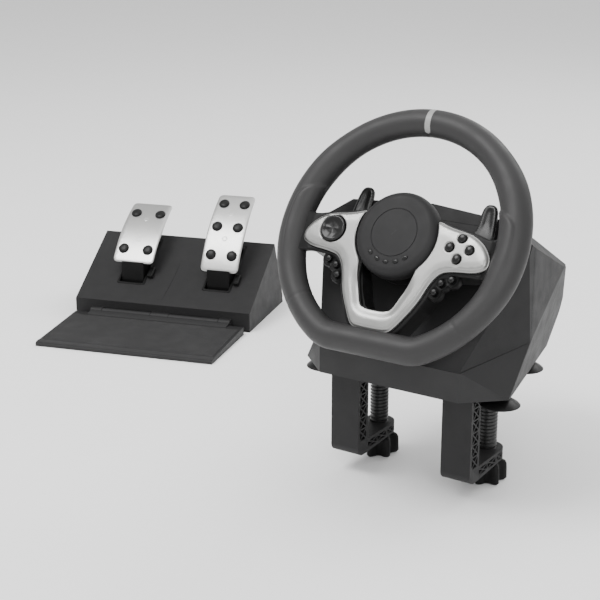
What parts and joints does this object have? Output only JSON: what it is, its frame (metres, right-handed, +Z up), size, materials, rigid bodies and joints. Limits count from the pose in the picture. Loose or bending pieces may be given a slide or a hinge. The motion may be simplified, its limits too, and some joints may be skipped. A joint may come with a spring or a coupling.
{
  "type": "racing wheel and pedal set",
  "caption": "Flat-bottomed racing wheel on a tilted desk-clamp base, with spoke buttons and shift paddles, and a floor unit with hinged brake and accelerator pedals.",
  "frame": {"origin": "middle of the whole set's footprint, on the surface that it stands on", "axes": "+X to the driver's right, +Y away from the driver, +Z up"},
  "size_m": [0.8784, 0.5668, 0.4025],
  "materials": {
    "grip_rubber": "fine-textured matt",
    "marker_grey": "satin",
    "black_plastic": "fine-textured matt",
    "silver_trim": "satin silver paint",
    "charcoal_plastic": "fine spark-eroded texture",
    "dark_plastic": "fine-textured matt",
    "button_plastic": "semi-gloss",
    "circuit_board": "matt",
    "steel": "plain",
    "screw_steel": "blackened",
    "soft_rubber": "matt",
    "pedal_metal": "fine brushed"
  },
  "bodies": {
    "wheel_base": {"front_shell": "charcoal_plastic", "rear_shell": "charcoal_plastic", "base_tray": "charcoal_plastic", "bearing_frame": "steel", "shaft_bearings": "steel", "spring_drum": "dark_plastic", "steering_sensor": "dark_plastic", "main_board": "circuit_board", "clamp_arms": "charcoal_plastic", "suction_cups": "soft_rubber", "shell_screws": "steel", "socket_panel": "dark_plastic"},
    "steering_wheel": {"rim": "grip_rubber", "rim_marker": "marker_grey", "rim_frame": "steel", "wheel_front_cover": "black_plastic", "wheel_rear_cover": "black_plastic", "spoke_trim": "silver_trim", "hub_cap": "charcoal_plastic", "button_pods": "dark_plastic", "button_board": "circuit_board", "rumble_motors": "steel", "steering_shaft": "steel"},
    "action_button_up": {"action_button_up": "button_plastic"},
    "action_button_right": {"action_button_right": "button_plastic"},
    "action_button_down": {"action_button_down": "button_plastic"},
    "action_button_left": {"action_button_left": "button_plastic"},
    "pod_button_left_1": {"pod_button_left_1": "button_plastic"},
    "pod_button_right_1": {"pod_button_right_1": "button_plastic"},
    "pod_button_left_2": {"pod_button_left_2": "button_plastic"},
    "pod_button_right_2": {"pod_button_right_2": "button_plastic"},
    "pod_button_left_3": {"pod_button_left_3": "button_plastic"},
    "pod_button_right_3": {"pod_button_right_3": "button_plastic"},
    "hub_button_1": {"hub_button_1": "button_plastic"},
    "hub_button_2": {"hub_button_2": "button_plastic"},
    "hub_button_3": {"hub_button_3": "button_plastic"},
    "hub_button_4": {"hub_button_4": "button_plastic"},
    "hub_button_5": {"hub_button_5": "button_plastic"},
    "dpad_pivot": {"dpad_pivot": "button_plastic"},
    "dpad": {"dpad": "button_plastic"},
    "paddle_left": {"paddle_left": "button_plastic"},
    "paddle_right": {"paddle_right": "button_plastic"},
    "clamp_jaw_left": {"clamp_pad_left": "soft_rubber"},
    "clamp_handscrew_left": {"clamp_screw_left": "screw_steel", "clamp_knob_left": "dark_plastic"},
    "clamp_jaw_right": {"clamp_pad_right": "soft_rubber"},
    "clamp_handscrew_right": {"clamp_screw_right": "screw_steel", "clamp_knob_right": "dark_plastic"},
    "pedal_unit": {"pedal_cover": "charcoal_plastic", "pedal_base": "dark_plastic", "heel_hinge_pin": "steel", "pedal_pins": "steel", "pedal_springs": "steel"},
    "heel_rest": {"heel_plate": "charcoal_plastic"},
    "brake": {"brake_arm": "dark_plastic", "brake_pad": "pedal_metal", "brake_studs": "soft_rubber"},
    "accelerator": {"accelerator_arm": "dark_plastic", "accelerator_pad": "pedal_metal", "accelerator_studs": "soft_rubber"}
  },
  "joints": [
    {"name": "steering", "type": "hinge", "parent": "wheel_base", "child": "steering_wheel", "pos_m": [0.29968, -0.20862, 0.2817], "axis": [0, -0.849, 0.5284], "range_deg": [-450, 450], "stiffness_Nm_per_rad": 0.12},
    {"name": "action_button_up_press", "type": "slide", "parent": "steering_wheel", "child": "action_button_up", "axis": [0, 0.849, -0.5284], "range_m": [0, 0.0012], "stiffness_N_per_m": 400, "springref_m": -0.0005},
    {"name": "action_button_right_press", "type": "slide", "parent": "steering_wheel", "child": "action_button_right", "axis": [0, 0.849, -0.5284], "range_m": [0, 0.0012], "stiffness_N_per_m": 400, "springref_m": -0.0005},
    {"name": "action_button_down_press", "type": "slide", "parent": "steering_wheel", "child": "action_button_down", "axis": [0, 0.849, -0.5284], "range_m": [0, 0.0012], "stiffness_N_per_m": 400, "springref_m": -0.0005},
    {"name": "action_button_left_press", "type": "slide", "parent": "steering_wheel", "child": "action_button_left", "axis": [0, 0.849, -0.5284], "range_m": [0, 0.0012], "stiffness_N_per_m": 400, "springref_m": -0.0005},
    {"name": "pod_button_left_1_press", "type": "slide", "parent": "steering_wheel", "child": "pod_button_left_1", "axis": [0, 0.849, -0.5284], "range_m": [0, 0.0012], "stiffness_N_per_m": 400, "springref_m": -0.0005},
    {"name": "pod_button_right_1_press", "type": "slide", "parent": "steering_wheel", "child": "pod_button_right_1", "axis": [0, 0.849, -0.5284], "range_m": [0, 0.0012], "stiffness_N_per_m": 400, "springref_m": -0.0005},
    {"name": "pod_button_left_2_press", "type": "slide", "parent": "steering_wheel", "child": "pod_button_left_2", "axis": [0, 0.849, -0.5284], "range_m": [0, 0.0012], "stiffness_N_per_m": 400, "springref_m": -0.0005},
    {"name": "pod_button_right_2_press", "type": "slide", "parent": "steering_wheel", "child": "pod_button_right_2", "axis": [0, 0.849, -0.5284], "range_m": [0, 0.0012], "stiffness_N_per_m": 400, "springref_m": -0.0005},
    {"name": "pod_button_left_3_press", "type": "slide", "parent": "steering_wheel", "child": "pod_button_left_3", "axis": [0, 0.849, -0.5284], "range_m": [0, 0.0012], "stiffness_N_per_m": 400, "springref_m": -0.0005},
    {"name": "pod_button_right_3_press", "type": "slide", "parent": "steering_wheel", "child": "pod_button_right_3", "axis": [0, 0.849, -0.5284], "range_m": [0, 0.0012], "stiffness_N_per_m": 400, "springref_m": -0.0005},
    {"name": "hub_button_1_press", "type": "slide", "parent": "steering_wheel", "child": "hub_button_1", "axis": [0, 0.849, -0.5284], "range_m": [0, 0.0008], "stiffness_N_per_m": 400, "springref_m": -0.0005},
    {"name": "hub_button_2_press", "type": "slide", "parent": "steering_wheel", "child": "hub_button_2", "axis": [0, 0.849, -0.5284], "range_m": [0, 0.0008], "stiffness_N_per_m": 400, "springref_m": -0.0005},
    {"name": "hub_button_3_press", "type": "slide", "parent": "steering_wheel", "child": "hub_button_3", "axis": [0, 0.849, -0.5284], "range_m": [0, 0.0008], "stiffness_N_per_m": 400, "springref_m": -0.0005},
    {"name": "hub_button_4_press", "type": "slide", "parent": "steering_wheel", "child": "hub_button_4", "axis": [0, 0.849, -0.5284], "range_m": [0, 0.0008], "stiffness_N_per_m": 400, "springref_m": -0.0005},
    {"name": "hub_button_5_press", "type": "slide", "parent": "steering_wheel", "child": "hub_button_5", "axis": [0, 0.849, -0.5284], "range_m": [0, 0.0008], "stiffness_N_per_m": 400, "springref_m": -0.0005},
    {"name": "dpad_tilt_up_down", "type": "hinge", "parent": "steering_wheel", "child": "dpad_pivot", "pos_m": [0.22618, -0.21625, 0.2808], "axis": [1, 0, 0], "range_deg": [-5, 5], "stiffness_Nm_per_rad": 0.3},
    {"name": "dpad_tilt_left_right", "type": "hinge", "parent": "dpad_pivot", "child": "dpad", "pos_m": [0.22618, -0.21625, 0.2808], "axis": [0, 0.5284, 0.849], "range_deg": [-5, 5], "stiffness_Nm_per_rad": 0.3},
    {"name": "paddle_left_pull", "type": "hinge", "parent": "steering_wheel", "child": "paddle_left", "pos_m": [0.26568, -0.17574, 0.27302], "axis": [0, 0.5284, 0.849], "range_deg": [0, 7], "stiffness_Nm_per_rad": 0.8, "springref_deg": -5.73},
    {"name": "paddle_right_pull", "type": "hinge", "parent": "steering_wheel", "child": "paddle_right", "pos_m": [0.33368, -0.17574, 0.27302], "axis": [0, -0.5284, -0.849], "range_deg": [0, 7], "stiffness_Nm_per_rad": 0.8, "springref_deg": -5.73},
    {"name": "clamp_travel_left", "type": "slide", "parent": "wheel_base", "child": "clamp_jaw_left", "axis": [0, 0, 1], "range_m": [-0.0551, 0]},
    {"name": "clamp_turn_left", "type": "hinge", "parent": "clamp_jaw_left", "child": "clamp_handscrew_left", "pos_m": [0.23168, -0.12732, 0.117], "axis": [0, 0, 1], "range_deg": [-4950, 0]},
    {"name": "clamp_travel_right", "type": "slide", "parent": "wheel_base", "child": "clamp_jaw_right", "axis": [0, 0, 1], "range_m": [-0.0551, 0]},
    {"name": "clamp_turn_right", "type": "hinge", "parent": "clamp_jaw_right", "child": "clamp_handscrew_right", "pos_m": [0.36768, -0.12732, 0.117], "axis": [0, 0, 1], "range_deg": [-4950, 0]},
    {"name": "pedal_unit_slide", "type": "slide", "parent": "wheel_base", "child": "pedal_unit", "axis": [0, 1, 0], "range_m": [-0.1, 0.1]},
    {"name": "heel_plate_fold", "type": "hinge", "parent": "pedal_unit", "child": "heel_rest", "pos_m": [-0.26444, 0.09208, 0.0125], "axis": [-0.9588, -0.284, 0], "range_deg": [0, 90]},
    {"name": "brake_press", "type": "hinge", "parent": "pedal_unit", "child": "brake", "pos_m": [-0.33779, 0.12668, 0.022], "axis": [-0.9588, -0.284, 0], "range_deg": [0, 15], "stiffness_Nm_per_rad": 30, "springref_deg": -4.58},
    {"name": "accelerator_press", "type": "hinge", "parent": "pedal_unit", "child": "accelerator", "pos_m": [-0.20978, 0.16459, 0.022], "axis": [-0.9588, -0.284, 0], "range_deg": [0, 15], "stiffness_Nm_per_rad": 10, "springref_deg": -4.58}
  ],
  "couplings": [
    {"joint": "clamp_travel_left", "follows": "clamp_turn_left", "m_per_rad": 0.00063662},
    {"joint": "clamp_travel_right", "follows": "clamp_turn_right", "m_per_rad": 0.00063662}
  ]
}
